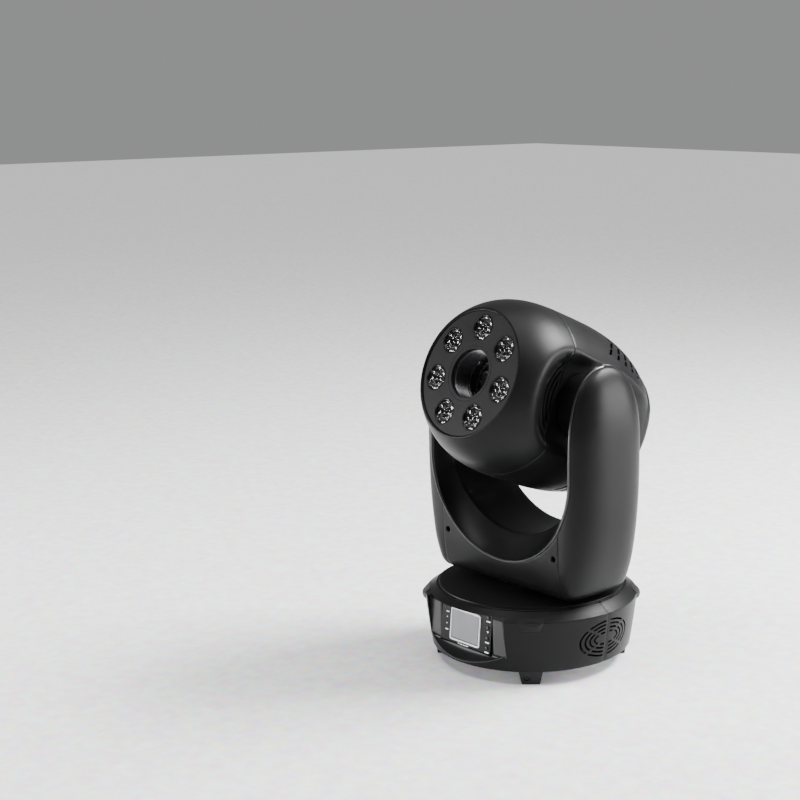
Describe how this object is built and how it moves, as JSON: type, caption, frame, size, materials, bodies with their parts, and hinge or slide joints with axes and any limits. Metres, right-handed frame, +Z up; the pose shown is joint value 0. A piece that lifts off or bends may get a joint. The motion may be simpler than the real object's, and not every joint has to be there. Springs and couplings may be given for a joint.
{
  "type": "moving head light",
  "caption": "Stage light with a round base, a U-shaped yoke that pans on it and a tilting barrel head with a deep central lens and a ring of small lenses.",
  "frame": {"origin": "on the pan axis, in the plane of the undersides of the four feet", "axes": "+Z up along the pan axis, -Y towards the display side, +X along the tilt axis to the right of someone facing the display"},
  "size_m": [0.3026, 0.3078, 0.4742],
  "materials": {
    "housing_black": "fine textured satin black",
    "inner_black": "matt black",
    "deck_black": "smooth satin black",
    "foot_rubber": "matt",
    "belt_rubber": "matt",
    "screw_steel": "black oxide",
    "panel_black": "satin black film",
    "button_black": "matt",
    "bezel_white": "printed white",
    "screen_grey": "unlit screen",
    "circuit_board": "solder mask",
    "power_in_blue": "satin",
    "power_out_grey": "satin",
    "connector_metal": "nickel plated",
    "frame_steel": "zinc plated",
    "bearing_steel": "polished",
    "aluminium": "milled",
    "motor_black": "satin",
    "lens_glass": "clear",
    "wheel_aluminium": "matt"
  },
  "bodies": {
    "base": {"base_shell_front": "housing_black", "base_shell_rear": "housing_black", "base_deck": "deck_black", "bottom_plate": "frame_steel", "rubber_feet": "foot_rubber", "foot_screws": "screw_steel", "display_panel": "panel_black", "lcd_bezel": "bezel_white", "lcd_screen": "screen_grey", "display_board": "circuit_board", "connector_panel": "panel_black", "power_inlet": "power_in_blue", "power_outlet": "power_out_grey", "dmx_input": "connector_metal", "dmx_output": "connector_metal", "fuse_holder": "panel_black", "base_frame": "frame_steel", "power_supply": "aluminium", "main_board": "circuit_board", "base_fan_housing": "inner_black", "pan_shaft": "frame_steel", "pan_pulley": "aluminium"},
    "up_button": {"button_up": "button_black"},
    "down_button": {"button_down": "button_black"},
    "menu_button": {"button_menu": "button_black"},
    "enter_button": {"button_enter": "button_black"},
    "base_fan": {"base_fan_rotor": "inner_black"},
    "yoke": {"yoke_base_plate": "frame_steel", "arm_plate_left": "frame_steel", "arm_plate_right": "frame_steel", "pan_bearing": "bearing_steel", "yoke_cover_front": "housing_black", "yoke_cover_rear": "housing_black", "arm_cover_left": "housing_black", "arm_cover_right": "housing_black", "arm_panel_left": "inner_black", "arm_panel_right": "inner_black", "cover_screws": "screw_steel", "tilt_bearings": "bearing_steel", "pan_motor": "motor_black", "pan_belt": "belt_rubber", "tilt_motor": "motor_black", "tilt_belt": "belt_rubber"},
    "pan_drive": {"pan_motor_pulley": "aluminium"},
    "tilt_drive": {"tilt_motor_pulley": "aluminium"},
    "head": {"head_shell_front": "housing_black", "head_shell_rear": "housing_black", "face_plate": "housing_black", "face_ring": "housing_black", "led_cups": "inner_black", "led_lenses": "lens_glass", "led_board": "circuit_board", "lens_barrel": "inner_black", "front_lens": "lens_glass", "head_chassis": "frame_steel", "heat_sink": "aluminium"},
    "focus": {"focus_carriage": "inner_black"},
    "color": {"color_wheel": "wheel_aluminium"},
    "gobo": {"gobo_wheel": "wheel_aluminium"},
    "head_fan": {"head_fan_rotor": "inner_black"}
  },
  "joints": [
    {"name": "pan", "type": "hinge", "parent": "base", "child": "yoke", "pos_m": [0, 0, 0.115], "axis": [0, 0, 1], "range_deg": [-270, 270]},
    {"name": "tilt", "type": "hinge", "parent": "yoke", "child": "head", "pos_m": [0, 0, 0.345], "axis": [1, 0, 0], "range_deg": [-202, 68]},
    {"name": "pan_motor_spin", "type": "hinge", "parent": "yoke", "child": "pan_drive", "pos_m": [-0.082, 0, 0.128], "axis": [0, 0, 1], "range_deg": [-1350, 1350]},
    {"name": "tilt_motor_spin", "type": "hinge", "parent": "yoke", "child": "tilt_drive", "pos_m": [0.134, 0, 0.176], "axis": [1, 0, 0], "range_deg": [-707, 238]},
    {"name": "base_fan_spin", "type": "hinge", "parent": "base", "child": "base_fan", "pos_m": [0.113, 0, 0.053], "axis": [1, 0, 0], "continuous": true},
    {"name": "head_fan_spin", "type": "hinge", "parent": "head", "child": "head_fan", "pos_m": [0, 0.09495, 0.30509], "axis": [0, -0.9219, 0.3875], "continuous": true},
    {"name": "color_wheel_spin", "type": "hinge", "parent": "head", "child": "color", "pos_m": [0, 0.01623, 0.37072], "axis": [0, -0.9219, 0.3875], "continuous": true},
    {"name": "gobo_wheel_spin", "type": "hinge", "parent": "head", "child": "gobo", "pos_m": [0, -0.02177, 0.32161], "axis": [0, -0.9219, 0.3875], "continuous": true},
    {"name": "focus_slide", "type": "slide", "parent": "head", "child": "focus", "axis": [0, -0.9219, 0.3875], "range_m": [0, 0.018]},
    {"name": "up_press", "type": "slide", "parent": "base", "child": "up_button", "axis": [0, 0.9951, -0.0993], "range_m": [0, 0.0007], "stiffness_N_per_m": 400},
    {"name": "down_press", "type": "slide", "parent": "base", "child": "down_button", "axis": [0, 0.9951, -0.0993], "range_m": [0, 0.0007], "stiffness_N_per_m": 400},
    {"name": "menu_press", "type": "slide", "parent": "base", "child": "menu_button", "axis": [0, 0.9951, -0.0993], "range_m": [0, 0.0007], "stiffness_N_per_m": 400},
    {"name": "enter_press", "type": "slide", "parent": "base", "child": "enter_button", "axis": [0, 0.9951, -0.0993], "range_m": [0, 0.0007], "stiffness_N_per_m": 400}
  ],
  "couplings": [
    {"joint": "pan_motor_spin", "follows": "pan", "ratio": -5},
    {"joint": "tilt_motor_spin", "follows": "tilt", "ratio": 3.5}
  ]
}
